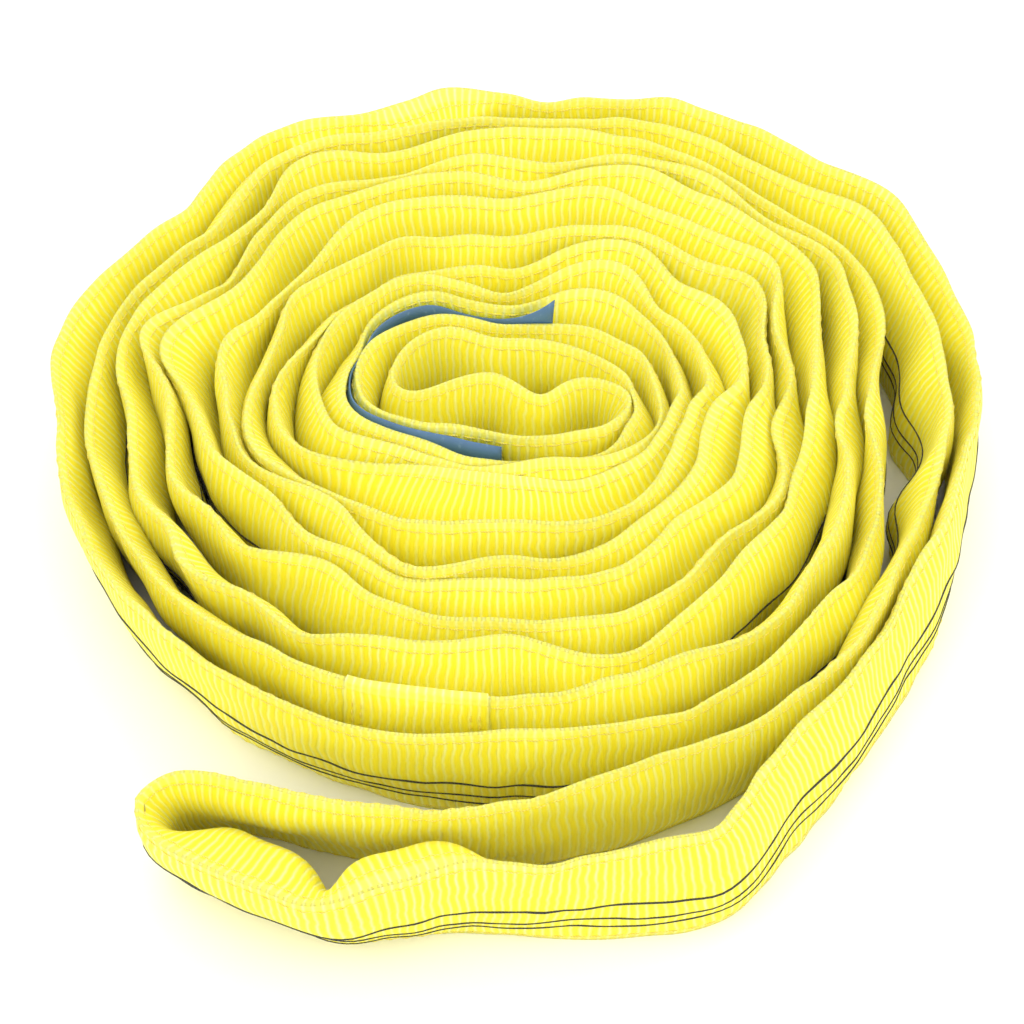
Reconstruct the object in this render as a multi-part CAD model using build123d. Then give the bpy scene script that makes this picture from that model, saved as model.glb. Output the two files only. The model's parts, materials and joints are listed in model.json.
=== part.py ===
"""Polyester round sling, 3 t by 4 m, flattened to a double strand and wound into a coil.

The endless sling lies doubled. Its two legs stand on edge side by side and are wound together
from an inner bight outwards. The last stretch opens into the lifting eye, the free end, which
swings about an upright line where it leaves the coil.

Frame: millimetres, +Z up, base of the coil on Z = 0. The free end points towards -X. The sizes
below are counted from the middle of the coil, and every piece is moved as it is written, so that
the origin is under the middle of the object's box.
Sides of the route: the loop is walked along the outer leg into the coil and back along the
inner leg, so the inside of the loop is always on the left and a shift to the left is positive.
"""
import os
from math import cos, degrees, hypot, radians, sin

from build123d import *

# ---- Driving dimensions -------------------------------------------------------------------
EFFECTIVE_LENGTH = 4000.0   # length of the sling pulled straight, half of the endless loop
HEIGHT = 56.0               # width of the filled strand, standing on edge
THICKNESS = 9.0             # thickness of the filled strand
WALL = 1.2                  # woven jacket
LEG_PITCH = 11.4            # from one leg to the next, middle to middle
FIRST_RADIUS = 161.0        # middle of the outermost pair of legs at the right of the coil
QUARTERS = 24               # quarter turns wound from there to the innermost turn
INNER_RADIUS = 12.0         # middle of the pair in the tight turn that fills the centre
INNER_TURN = 150.0          # degrees of that turn, which ends in the inner bight

CORE_BUNDLES = 6            # yarn bundles stacked in the height of the jacket
CORE_PLAY = 0.1             # gap round each bundle

MARKER_DROPS = (0.55, 0.70, 0.78)   # places of the three marker threads, below the upper edge
MARKER_WIDTH = 1.0
MARKER_RISE = 0.35
SEAM_DROP = 3.6             # from each edge to its row of seam thread
SEAM_WIDTH = 0.6
SEAM_DEPTH = 0.3            # the seam threads are bedded flush in the jacket

LABEL_HEIGHT = 40.0
LABEL_DROP = 4.0            # from the upper edge of the jacket to that of the label
LABEL_THICKNESS = 0.5
LABEL_STANDOFF = 0.45       # the label lies over the marker threads
LABEL_QUARTERS = (17, 18)   # the quarter turns whose inner leg carries the label
LABEL_ROW_SETBACKS = (3.0, 7.0)     # from the sewn end of the label to its rows of stitches

COVER_LENGTH = 52.0         # sleeve over the closing seam of the jacket
COVER_GAP = 0.4
COVER_WALL = 0.5
COVER_QUARTER = 2           # the quarter turn whose inner leg carries it
COVER_ANGLE = 76.0          # degrees into that quarter turn at its middle
COVER_ROW_SETBACK = 5.0     # from each end of the sleeve to its row of stitches
STITCH_LENGTH = 3.4
STITCH_WIDTH = 0.9
STITCH_RISE = 0.25
STITCH_PITCH = 5.0

PIVOT = (5.0, -180.2)       # upright line about which the free end swings
SWING_RADIUS = 21.6         # the free end turns inside this circle
SWING_GAP = 0.35            # clearance from that circle to the ends of the coiled part
INNER_LEG_END = 3.0         # degrees past the bottom of the coil where the inner leg ends

# Middle of the outer leg from the pivot to the right of the coil, and of the free end from its
# inner leg round the bight to its outer leg. The corners are rounded by the radii beside them.
OUTER_LEG = [(8.0, -196.6), (66.0, -193.0), (99.0, -152.0), (145.0, -103.0), (169.4, -34.0)]
OUTER_LEG_RADII = [22.0, 60.0, 90.0, 100.0]
FREE_END = [(28.0, -163.85), (-4.0, -163.85), (-34.0, -174.0), (-78.0, -163.0),
            (-127.0, -163.0), (-127.0, -201.0), (-96.0, -201.0), (-60.0, -209.0),
            (-24.0, -196.6), (28.0, -196.6)]
FREE_END_RADII = [50.0, 70.0, 90.0, 18.95, 18.95, 60.0, 40.0, 50.0]

CUT_MARGIN = 2.0            # how far a cut reaches past the piece that it cuts
BOX_CENTRE = (5.7, -21.826) # middle of the whole object's box, seen from the coil's middle

# ---- Worked out from them -----------------------------------------------------------------
HALF = THICKNESS / 2
GROWTH = 2 * LEG_PITCH / 4          # loss of radius in each quarter turn going inwards
CORE_HEIGHT = (HEIGHT - 2 * WALL) / CORE_BUNDLES
CORE_HALF = HALF - WALL - CORE_PLAY
SEAM_BEDS = [(-HALF, -HALF + SEAM_DEPTH), (HALF - SEAM_DEPTH, HALF)]
CENTRES = [(0.5, -0.5), (0.5, 0.5), (-0.5, 0.5), (-0.5, -0.5)]


def quarter_centre(quarter):
    """Centre of a quarter turn: the four corners of a small square, in order."""
    x, y = CENTRES[quarter % 4]
    return (x * GROWTH, y * GROWTH)


def quarter_radius(quarter):
    """Radius of the middle of the pair of legs in a quarter turn."""
    return FIRST_RADIUS - quarter * GROWTH


def on_circle(centre, radius, angle):
    """Point of a circle at an angle in degrees."""
    return (centre[0] + radius * cos(radians(angle)), centre[1] + radius * sin(radians(angle)))


def leg_arc(quarter, offset, start=0.0, span=90.0):
    """Arc of a quarter turn, anticlockwise, at an offset outwards from the pair's middle."""
    radius = quarter_radius(quarter) + offset
    return CenterArc(quarter_centre(quarter), radius, 90.0 * (quarter % 4) + start, span)


def shifted(points, shift):
    """Corners of the line parallel to a route, shifted to its left."""
    moved = []
    for index, (x, y) in enumerate(points):
        ways = []
        for a, b in ((index - 1, index), (index, index + 1)):
            if a >= 0 and b < len(points):
                dx, dy = points[b][0] - points[a][0], points[b][1] - points[a][1]
                length = hypot(dx, dy)
                ways.append((-dy / length, dx / length))
        nx, ny = (sum(way[i] for way in ways) for i in (0, 1))
        along = (nx * ways[0][0] + ny * ways[0][1])
        moved.append((x + shift * nx / along, y + shift * ny / along))
    return moved


def turns_left(points):
    """For each corner of a route, +1 where it turns left and -1 where it turns right."""
    signs = []
    for (ax, ay), (bx, by), (cx, cy) in zip(points, points[1:], points[2:]):
        signs.append(1 if (bx - ax) * (cy - by) - (by - ay) * (cx - bx) > 0 else -1)
    return signs


def rounded(points, radii, shift):
    """Line parallel to a rounded route, with arcs about the same centres as the route's."""
    own = [radius - sign * shift for radius, sign in zip(radii, turns_left(points))]
    return FilletPolyline(*shifted(points, shift), radius=own)


def outer_leg_points():
    """Route of the outer leg from the pivot until it meets the winding, at the right."""
    x, y = on_circle(quarter_centre(0), quarter_radius(0) + LEG_PITCH / 2, 0.0)
    return OUTER_LEG[:-1] + [(x, OUTER_LEG[-1][1]), (x, y)]


def outer_leg_side(shift):
    """One side line of the outer leg that runs beside the coil to the free end."""
    return list(rounded(outer_leg_points(), OUTER_LEG_RADII, shift).edges())


def wound_side(shift):
    """One side line of the wound ribbon, from the outer leg at the right to the inner leg's end."""
    half = LEG_PITCH / 2
    line = [leg_arc(quarter, half - shift) for quarter in range(QUARTERS)]
    last = QUARTERS - 1
    angle = 90.0 * (last % 4) + 90.0
    x, y = on_circle(quarter_centre(last), quarter_radius(last), angle)
    tight = on_circle((x, y), INNER_RADIUS, angle + 180.0)
    line.append(CenterArc(tight, INNER_RADIUS + half - shift, angle, INNER_TURN))
    angle += INNER_TURN
    bight = on_circle(tight, INNER_RADIUS, angle)
    line.append(CenterArc(bight, half - shift, angle, 180.0))
    line.append(CenterArc(tight, INNER_RADIUS + shift - half, angle - INNER_TURN, INNER_TURN))
    line += [leg_arc(quarter, shift - half) for quarter in reversed(range(QUARTERS))]
    line.append(leg_arc(-1, shift - half, INNER_LEG_END, 90.0 - INNER_LEG_END))
    return line


def coil_side(shift):
    """One side line of the whole coiled ribbon, from the outer leg's end to the inner leg's."""
    return outer_leg_side(shift) + wound_side(shift)


def free_side(shift):
    """One side line of the free end's ribbon."""
    return list(rounded(FREE_END, FREE_END_RADII, shift).edges())


INNER_LEG_STOP = on_circle(quarter_centre(-1), quarter_radius(-1) - LEG_PITCH / 2,
                           270.0 + INNER_LEG_END)
ROUTE_ENDS = {
    outer_leg_side: (OUTER_LEG[0], outer_leg_points()[-1]),
    wound_side: (outer_leg_points()[-1], INNER_LEG_STOP),
    coil_side: (OUTER_LEG[0], INNER_LEG_STOP),
    free_side: (FREE_END[0], FREE_END[-1]),
}


def ends_of(line, route_start, route_end):
    """The two free ends of a side line: the ones nearest the route's start and end."""
    corners = [vertex for edge in line for vertex in edge.vertices()]
    near_start = min(corners, key=lambda v: hypot(v.X - route_start[0], v.Y - route_start[1]))
    near_end = min(corners, key=lambda v: hypot(v.X - route_end[0], v.Y - route_end[1]))
    return (near_start.X, near_start.Y), (near_end.X, near_end.Y)


def ribbon(side, right, left, low, high):
    """Upright band between two parallel side lines and two heights."""
    start, end = ROUTE_ENDS[side]
    right_line, left_line = side(right), side(left)
    right_start, right_end = ends_of(right_line, start, end)
    left_start, left_end = ends_of(left_line, start, end)
    outline = right_line + left_line + [Line(right_start, left_start), Line(right_end, left_end)]
    return extrude(Pos(0, 0, low) * make_face(outline), high - low)


def swing_column(radius):
    """Upright column round the line about which the free end swings."""
    return Pos(PIVOT[0], PIVOT[1], HEIGHT / 2) * Cylinder(radius, HEIGHT + 2 * CUT_MARGIN)


def trimmed(side, solid):
    """A band cut at the swing circle, so that the free end turns clear of the coiled part."""
    if side is not free_side:
        return solid - swing_column(SWING_RADIUS + SWING_GAP)
    width, depth = 2 * SWING_RADIUS, 4 * SWING_RADIUS
    beyond = Pos(PIVOT[0] + width / 2, PIVOT[1], HEIGHT / 2) * Box(
        width, depth, HEIGHT + 2 * CUT_MARGIN)
    return solid - (beyond - swing_column(SWING_RADIUS))


def band(side, right, left, low, high):
    """A finished band of one of the two stretches of the sling."""
    return trimmed(side, ribbon(side, right, left, low, high))


def jacket(side):
    """Stretch of the woven tubular jacket: a hollow band, open at both ends for the core."""
    outer = ribbon(side, -HALF, HALF, 0, HEIGHT)
    inner = ribbon(side, -HALF + WALL, HALF - WALL, WALL, HEIGHT - WALL)
    tube = outer - inner
    for middle in (SEAM_DROP, HEIGHT - SEAM_DROP):
        for right, left in SEAM_BEDS:
            tube -= ribbon(side, right, left, middle - SEAM_WIDTH / 2, middle + SEAM_WIDTH / 2)
    return trimmed(side, tube)


def core_bundle(side, index):
    """One bundle of the load-bearing yarn, in its layer of the cavity."""
    low = WALL + index * CORE_HEIGHT + CORE_PLAY
    high = WALL + (index + 1) * CORE_HEIGHT - CORE_PLAY
    return band(side, -CORE_HALF, CORE_HALF, low, high)


def marker_threads(side):
    """Three black threads along the outside of the loop, one for each tonne."""
    threads = []
    for drop in MARKER_DROPS:
        middle = HEIGHT * (1 - drop)
        threads.append(band(side, -HALF - MARKER_RISE, -HALF,
                            middle - MARKER_WIDTH / 2, middle + MARKER_WIDTH / 2))
    return threads


def seam_threads(side, middle):
    """Seam thread along one edge of the jacket, on both of its faces."""
    low, high = middle - SEAM_WIDTH / 2, middle + SEAM_WIDTH / 2
    return [band(side, right, left, low, high) for right, left in SEAM_BEDS]


def ring_block(quarter, offset, rise, angle, length, low, high):
    """Small curved block against a leg, centred on an angle of its quarter turn."""
    inner = quarter_radius(quarter) + offset
    outer = inner + rise
    span = degrees(length / inner)
    start = 90.0 * (quarter % 4) + angle - span / 2
    centre = quarter_centre(quarter)
    arcs = [CenterArc(centre, radius, start, span) for radius in (inner, outer)]
    caps = [Line(on_circle(centre, inner, start + turn), on_circle(centre, outer, start + turn))
            for turn in (0.0, span)]
    return extrude(Pos(0, 0, low) * make_face(arcs + caps), high - low)


LABEL_INNER = -LEG_PITCH / 2 - HALF - LABEL_STANDOFF - LABEL_THICKNESS
LABEL_TOP = HEIGHT - LABEL_DROP
LABEL_LOW = LABEL_TOP - LABEL_HEIGHT


def label():
    """Woven label strip, sewn to the outside of the loop and lying along the inner leg."""
    sides = []
    for offset in (LABEL_INNER, LABEL_INNER + LABEL_THICKNESS):
        sides += [leg_arc(quarter, offset) for quarter in LABEL_QUARTERS]
    first, last = LABEL_QUARTERS
    caps = []
    for quarter, angle in ((first, 90.0 * (first % 4)), (last, 90.0 * (last % 4) + 90.0)):
        reach = [quarter_radius(quarter) + offset
                 for offset in (LABEL_INNER, LABEL_INNER + LABEL_THICKNESS)]
        caps.append(Line(*(on_circle(quarter_centre(quarter), radius, angle)
                           for radius in reach)))
    return extrude(Pos(0, 0, LABEL_LOW) * make_face(sides + caps), LABEL_HEIGHT)


def label_stitches():
    """Two short rows of stitches that hold the sewn end of the label."""
    stitches = []
    radius = quarter_radius(LABEL_QUARTERS[1]) + LABEL_INNER
    rows = int(LABEL_HEIGHT / STITCH_PITCH) - 1
    for setback in LABEL_ROW_SETBACKS:
        angle = 90.0 - degrees(setback / radius)
        for row in range(rows):
            low = LABEL_LOW + (row + 1) * STITCH_PITCH - STITCH_LENGTH / 2
            stitches.append(ring_block(LABEL_QUARTERS[1], LABEL_INNER - STITCH_RISE, STITCH_RISE,
                                       angle, STITCH_WIDTH, low, low + STITCH_LENGTH))
    return stitches


COVER_FACE = HALF + COVER_GAP + COVER_WALL


def closing_cover():
    """Sleeve over the place where the jacket's two ends overlap, open at the bottom."""
    offset = -LEG_PITCH / 2
    outer = ring_block(COVER_QUARTER, offset - COVER_FACE, 2 * COVER_FACE, COVER_ANGLE,
                       COVER_LENGTH, 0, HEIGHT + COVER_WALL)
    inner = ring_block(COVER_QUARTER, offset - COVER_FACE + COVER_WALL,
                       2 * (COVER_FACE - COVER_WALL), COVER_ANGLE,
                       COVER_LENGTH + 2 * CUT_MARGIN, -CUT_MARGIN, HEIGHT)
    return outer - inner


def closing_stitches():
    """Cross rows of stitches near both ends of the cover, on both of its faces."""
    stitches = []
    radius = quarter_radius(COVER_QUARTER) - LEG_PITCH / 2
    rows = int(HEIGHT / STITCH_PITCH) - 1
    for end in (-1, 1):
        angle = COVER_ANGLE + end * degrees((COVER_LENGTH / 2 - COVER_ROW_SETBACK) / radius)
        for offset in (-COVER_FACE - STITCH_RISE, COVER_FACE):
            for row in range(rows):
                low = (row + 1) * STITCH_PITCH - STITCH_LENGTH / 2
                stitches.append(ring_block(COVER_QUARTER, offset - LEG_PITCH / 2, STITCH_RISE,
                                           angle, STITCH_WIDTH, low, low + STITCH_LENGTH))
    return stitches


def write(name, solids):
    """Write one node, of one solid or of a group of alike small ones."""
    group = solids if isinstance(solids, list) else [solids]
    to_origin = Pos(-BOX_CENTRE[0], -BOX_CENTRE[1], 0)
    pieces = [to_origin * piece for shape in group for piece in shape.solids()]
    if len(pieces) == 1:
        shape = pieces[0]
    else:
        shape = Compound(children=pieces)
    export_step(shape, os.path.join("parts", name + ".step"))


def main():
    """Write every node, and print the length of the loop that they make."""
    os.makedirs("parts", exist_ok=True)
    jackets = (("coil", wound_side), ("outer_leg", outer_leg_side), ("free_end", free_side))
    for name, side in jackets:
        write("jacket_" + name, jacket(side))
    for name, side in (("coil", coil_side), ("free_end", free_side)):
        for index in range(CORE_BUNDLES):
            write(f"core_bundle_{index + 1}_{name}", core_bundle(side, index))
        write("marker_threads_" + name, marker_threads(side))
        write("lower_seam_thread_" + name, seam_threads(side, SEAM_DROP))
        write("upper_seam_thread_" + name, seam_threads(side, HEIGHT - SEAM_DROP))
    write("label", label())
    write("label_stitches", label_stitches())
    write("closing_seam_cover", closing_cover())
    write("closing_seam_stitches", closing_stitches())
    loop = sum(edge.length for side in (coil_side, free_side) for edge in side(0.0))
    print(f"modelled loop {loop:.0f} mm, nominal {2 * EFFECTIVE_LENGTH:.0f} mm")


main()
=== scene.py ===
"""Round sling: woven jacket, yarn core, threads and label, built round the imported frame.

The endless loop is one route. It starts at the tip of the lifting eye, follows the outer leg into
the coil, turns back at the inner bight and follows the inner leg out again. Every soft piece is
laid on the same surface of the strand, given by how far along the loop, how high and how far out.
Route sizes are millimetres from the middle of the coil; meshes are made in metres in the frame.
"""
import json
import logging
import math
from dataclasses import dataclass, field
from enum import Enum
from typing import Any, Sequence

import bpy
import numpy as np
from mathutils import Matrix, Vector


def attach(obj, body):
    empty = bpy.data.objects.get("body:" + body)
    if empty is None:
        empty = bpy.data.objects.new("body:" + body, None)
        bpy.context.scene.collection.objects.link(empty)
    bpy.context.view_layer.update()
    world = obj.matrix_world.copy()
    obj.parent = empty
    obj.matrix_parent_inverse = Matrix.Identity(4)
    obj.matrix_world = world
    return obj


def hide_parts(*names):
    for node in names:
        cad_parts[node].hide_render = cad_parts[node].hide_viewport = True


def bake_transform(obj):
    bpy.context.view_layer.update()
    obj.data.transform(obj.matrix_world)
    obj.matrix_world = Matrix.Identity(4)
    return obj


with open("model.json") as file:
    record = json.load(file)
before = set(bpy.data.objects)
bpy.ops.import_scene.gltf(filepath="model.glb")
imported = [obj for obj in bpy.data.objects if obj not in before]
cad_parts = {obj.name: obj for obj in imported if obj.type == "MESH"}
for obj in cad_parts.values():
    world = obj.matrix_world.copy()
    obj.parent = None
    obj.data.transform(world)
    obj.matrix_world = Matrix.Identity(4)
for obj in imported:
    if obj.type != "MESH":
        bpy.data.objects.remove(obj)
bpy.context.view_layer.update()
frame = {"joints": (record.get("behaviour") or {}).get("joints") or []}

LOG = logging.getLogger("round_sling")
MM = 0.001
Number = int | float


class Face(Enum):
    """The two faces of the flattened jacket."""

    OUTSIDE = -1.0   # outside of the endless loop, where the marker threads run
    INSIDE = 1.0     # inside of the loop, between its two legs


# ---- Shader expressions -------------------------------------------------------------------
class Val:
    """A value socket that adds a Math node for every operator used on it."""

    def __init__(self, book: "NodeBook", socket: Any) -> None:
        """Wrap a socket.

        Args:
            book: the node book that adds nodes.
            socket: the output socket.
        """
        self.book = book
        self.socket = socket

    def _math(self, operation: str, *operands: Any) -> "Val":
        """Add one Math node.

        Args:
            operation: the Math node's operation.
            operands: values, sockets or wrapped sockets.

        Returns:
            The wrapped result.
        """
        inputs = dict(enumerate(operands))
        return Val(self.book, self.book.node("Math", {"operation": operation}, inputs))

    def __add__(self, other: Any) -> "Val":
        """Sum."""
        return self._math("ADD", self, other)

    def __radd__(self, other: Any) -> "Val":
        """Sum, reflected."""
        return self._math("ADD", other, self)

    def __sub__(self, other: Any) -> "Val":
        """Difference."""
        return self._math("SUBTRACT", self, other)

    def __rsub__(self, other: Any) -> "Val":
        """Difference, reflected."""
        return self._math("SUBTRACT", other, self)

    def __mul__(self, other: Any) -> "Val":
        """Product."""
        return self._math("MULTIPLY", self, other)

    def __rmul__(self, other: Any) -> "Val":
        """Product, reflected."""
        return self._math("MULTIPLY", other, self)

    def __truediv__(self, other: Any) -> "Val":
        """Quotient."""
        return self._math("DIVIDE", self, other)

    def __rtruediv__(self, other: Any) -> "Val":
        """Quotient, reflected."""
        return self._math("DIVIDE", other, self)

    def __pow__(self, other: Any) -> "Val":
        """Power."""
        return self._math("POWER", self, other)

    def __rpow__(self, other: Any) -> "Val":
        """Power, reflected."""
        return self._math("POWER", other, self)

    def __neg__(self) -> "Val":
        """Negative."""
        return self._math("MULTIPLY", self, -1.0)

    def sine(self) -> "Val":
        """Sine."""
        return self._math("SINE", self)

    def absolute(self) -> "Val":
        """Absolute value."""
        return self._math("ABSOLUTE", self)

    def at_most(self, other: Any) -> "Val":
        """The smaller of two values."""
        return self._math("MINIMUM", self, other)

    def at_least(self, other: Any) -> "Val":
        """The larger of two values."""
        return self._math("MAXIMUM", self, other)

    def step(self, low: Number, high: Number) -> "Val":
        """Smooth step from 0 at low to 1 at high.

        Args:
            low: value at which the result is 0.
            high: value at which the result is 1.

        Returns:
            The wrapped result.
        """
        settings = {"interpolation_type": "SMOOTHSTEP"}
        inputs = {"Value": self, "From Min": low, "From Max": high, "To Min": 0.0, "To Max": 1.0}
        return Val(self.book, self.book.node("MapRange", settings, inputs))


class NodeBook:
    """The nodes of one material."""

    def __init__(self, name: str) -> None:
        """Start a material with one Principled shader.

        Args:
            name: the material's name.
        """
        self.material = bpy.data.materials.new(name)
        self.material.use_nodes = True
        self.tree = self.material.node_tree
        self.shader = self.tree.nodes["Principled BSDF"]

    def node(self, kind: str, settings: dict, inputs: dict, output: Any = 0) -> Any:
        """Add a node of any type but the shader.

        Args:
            kind: node type, without its ShaderNode prefix.
            settings: properties, set first.
            inputs: socket name or number to a value, socket or wrapped socket.
            output: name or number of the output wanted, or None for all of them.

        Returns:
            The output socket, or the list of all of them.
        """
        node = self.tree.nodes.new("ShaderNode" + kind)
        for key, value in settings.items():
            setattr(node, key, value)
        for key, value in inputs.items():
            self.feed(node.inputs[key], value)
        return list(node.outputs) if output is None else node.outputs[output]

    def feed(self, socket: Any, value: Any) -> None:
        """Link or set an input socket.

        Args:
            socket: the input.
            value: wrapped socket, socket, number or tuple.
        """
        if isinstance(value, Val):
            value = value.socket
        if isinstance(value, bpy.types.NodeSocket):
            self.tree.links.new(value, socket)
        else:
            socket.default_value = value

    def mix(self, amount: Any, first: Any, second: Any) -> Any:
        """Mix two colours.

        Args:
            amount: how much of the second.
            first: colour or socket.
            second: colour or socket.

        Returns:
            The colour socket.
        """
        inputs = {0: amount, 6: first, 7: second}
        return self.node("Mix", {"data_type": "RGBA"}, inputs, 2)

    def lay(self) -> tuple[Val, Val, Val]:
        """Metres along the loop, metres above the lower edge, and which face, of the strand.

        Returns:
            The three wrapped values.
        """
        vector = self.node("Attribute", {"attribute_name": "lay"}, {}, "Vector")
        split = self.node("SeparateXYZ", {}, {0: vector}, None)
        return tuple(Val(self, socket) for socket in split)

    def point(self, along: Any, up: Any, side: Any) -> Any:
        """Vector from three values."""
        return self.node("CombineXYZ", {}, {0: along, 1: up, 2: side})

    def noise(self, vector: Any, scale: float, detail: float) -> Val:
        """Noise value of a vector.

        Args:
            vector: where.
            scale: grains per unit.
            detail: octaves.

        Returns:
            The wrapped value, about 0.5 in the middle.
        """
        inputs = {"Vector": vector, "Scale": scale, "Detail": detail}
        return Val(self, self.node("TexNoise", {}, inputs, "Fac"))

    def bump(self, height: Any, distance: float) -> None:
        """Put a height on the shader's normal.

        Args:
            height: wrapped height from 0 to 1.
            distance: metres that 1 stands for.
        """
        inputs = {"Distance": distance, "Height": height}
        self.feed(self.shader.inputs["Normal"], self.node("Bump", {}, inputs))

    def set_shader(self, **values: Any) -> None:
        """Set or link shader inputs, named with underscores for spaces."""
        for key, value in values.items():
            self.feed(self.shader.inputs[key.replace("_", " ")], value)


# ---- Finishes -----------------------------------------------------------------------------
@dataclass(frozen=True)
class JacketWeave:
    """Bright yellow polyester, woven with ribs across the band."""

    # deep is the yellow with painted shade, laid in the rib valleys; plain is the lit yellow of the
    # rib crests
    deep: tuple = (0.92, 0.815, 0.032, 1.0)
    plain: tuple = (0.89, 0.885, 0.100, 1.0)
    # pale is a whitish yellow, laid on the rib crests as painted highlight and a little on the
    # selvedge at both edges
    pale: tuple = (0.94, 0.93, 0.46, 1.0)
    worn: tuple = (0.95, 0.93, 0.46, 1.0)
    rib_pitch: float = 0.0030        # metres along the loop
    rib_wander: float = 0.0030       # how far a rib strays from its place
    grain_pitch: float = 0.00055
    edge_band: float = 0.0032
    height: float = 0.056
    roughness: float = 0.62
    rib_rise: float = 0.00042

    def build(self) -> Any:
        """Make the material.

        Returns:
            The Blender material.
        """
        book = NodeBook("jacket_weave")
        along, up, side = book.lay()
        wander = book.noise(book.point(along, up * 2.5, side), 38.0, 2.0) - 0.5
        turns = (along + wander * self.rib_wander) * (2 * math.pi / self.rib_pitch)
        rib = turns.sine() * 0.5 + 0.5
        crest = rib ** 1.8
        picks = (up * (2 * math.pi / self.grain_pitch)).sine() * 0.5 + 0.5
        ends = (along * (2 * math.pi / (self.rib_pitch / 4.0))).sine() * 0.5 + 0.5
        grain = picks * ends
        here = book.point(along, up, side)
        streaks = book.noise(book.point(along, up * 0.16, side), 420.0, 3.0)
        patches = book.noise(here, 24.0, 3.0)
        from_edge = (up - self.height / 2).absolute() * -1.0 + self.height / 2
        edge = 1.0 - from_edge.step(self.edge_band * 0.75, self.edge_band)
        # painted shade in the rib valleys and painted light on the crests, from deep to plain, with
        # random tone from the patches
        light = (crest * 0.75 + streaks * 0.45 + patches * 0.35 - 0.45).at_least(0.0).at_most(1.0)
        colour = book.mix(light, self.deep, self.plain)
        # painted highlight, whitish on the rib crests, stronger where the streaks run
        shine = (crest ** 2.0 * (streaks * 0.9 + 0.15)).at_least(0.0).at_most(0.8)
        colour = book.mix(shine * (0.30 + patches), colour, self.pale)
        colour = book.mix(edge * 0.18, colour, self.pale)
        wear = book.noise(here, 160.0, 4.0).step(0.62, 0.80)
        colour = book.mix(wear * 0.10, colour, self.worn)
        relief = crest * (1.0 - edge * 0.7) * 0.78 + grain * 0.16 + streaks * 0.10
        book.bump(relief, self.rib_rise)
        book.set_shader(Base_Color=colour, Roughness=self.roughness - crest * 0.10)
        book.set_shader(Specular_IOR_Level=0.25, Sheen_Weight=0.04, Sheen_Roughness=0.45)
        book.set_shader(Subsurface_Weight=0.12, Subsurface_Scale=0.005,
                        Subsurface_Radius=(1.0, 0.8, 0.1))
        return book.material


@dataclass(frozen=True)
class TwistedYarn:
    """A twisted or bundled yarn in one colour, with painted highlight on its crowns and painted
    shade between them.
    """

    name: str
    # dark is the yarn with painted shade between the twist crowns; light is the same yarn with
    # painted highlight on them
    groove_shade: tuple
    light: tuple
    twist: float
    roughness: float = 0.6
    rise: float = 0.0002

    def build(self) -> Any:
        """Make the material.

        Returns:
            The Blender material.
        """
        book = NodeBook(self.name)
        along, up, side = book.lay()
        strand = ((along + up * 0.8) * (2 * math.pi / self.twist) + side * 2.0).sine() * 0.5 + 0.5
        fuzz = book.noise(book.point(along, up, side * 0.01), 900.0, 3.0)
        # painted highlight on the twist crowns and painted shade between them, with random tone
        # from the fuzz
        crown_light_and_fuzz = (strand * 0.65 + fuzz * 0.5 - 0.08).at_least(0.0).at_most(1.0)
        book.bump(strand * 0.8 + fuzz * 0.2, self.rise)
        book.set_shader(Base_Color=book.mix(crown_light_and_fuzz, self.groove_shade, self.light),
                        Roughness=self.roughness + fuzz * 0.15)
        book.set_shader(Sheen_Weight=0.15)
        return book.material


@dataclass(frozen=True)
class LabelTape:
    """Blue coated label tape: smooth face over a fine cloth, paler in scattered patches."""

    deep: tuple = (0.055, 0.13, 0.25, 1.0)
    plain: tuple = (0.10, 0.22, 0.40, 1.0)
    pale: tuple = (0.30, 0.46, 0.62, 1.0)
    cloth_pitch: float = 0.0007

    def build(self) -> Any:
        """Make the material.

        Returns:
            The Blender material.
        """
        book = NodeBook("label_tape")
        along, up, side = book.lay()
        warp = (along * (2 * math.pi / self.cloth_pitch)).sine()
        weft = (up * (2 * math.pi / self.cloth_pitch)).sine()
        cloth = warp * weft * 0.5 + 0.5
        patches = book.noise(book.point(along, up, side), 60.0, 3.0)
        # paler in scattered patches
        pale_patches = book.noise(book.point(along * 2.0, up, side), 240.0, 4.0).step(0.58, 0.78)
        colour = book.mix(patches, self.deep, self.plain)
        colour = book.mix(pale_patches * 0.35, colour, self.pale)
        book.bump(cloth * 0.4 + patches * 0.6, 0.00012)
        book.set_shader(Base_Color=colour, Roughness=0.34 + patches * 0.18)
        book.set_shader(Specular_IOR_Level=0.5, Coat_Roughness=0.3)
        return book.material


# ---- Smooth random waves ------------------------------------------------------------------
def spline(before: Any, start: Any, end: Any, after: Any, share: np.ndarray) -> np.ndarray:
    """Smooth curve from start to end, given the points on either side of them.

    Args:
        before: point or value before the start.
        start: where the share is 0.
        end: where the share is 1.
        after: point or value after the end.
        share: shares of the way.

    Returns:
        Points or values at those shares.
    """
    return 0.5 * (2 * start + (end - before) * share
                  + (2 * before - 5 * start + 4 * end - after) * share ** 2
                  + (3 * start - before - 3 * end + after) * share ** 3)


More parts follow.
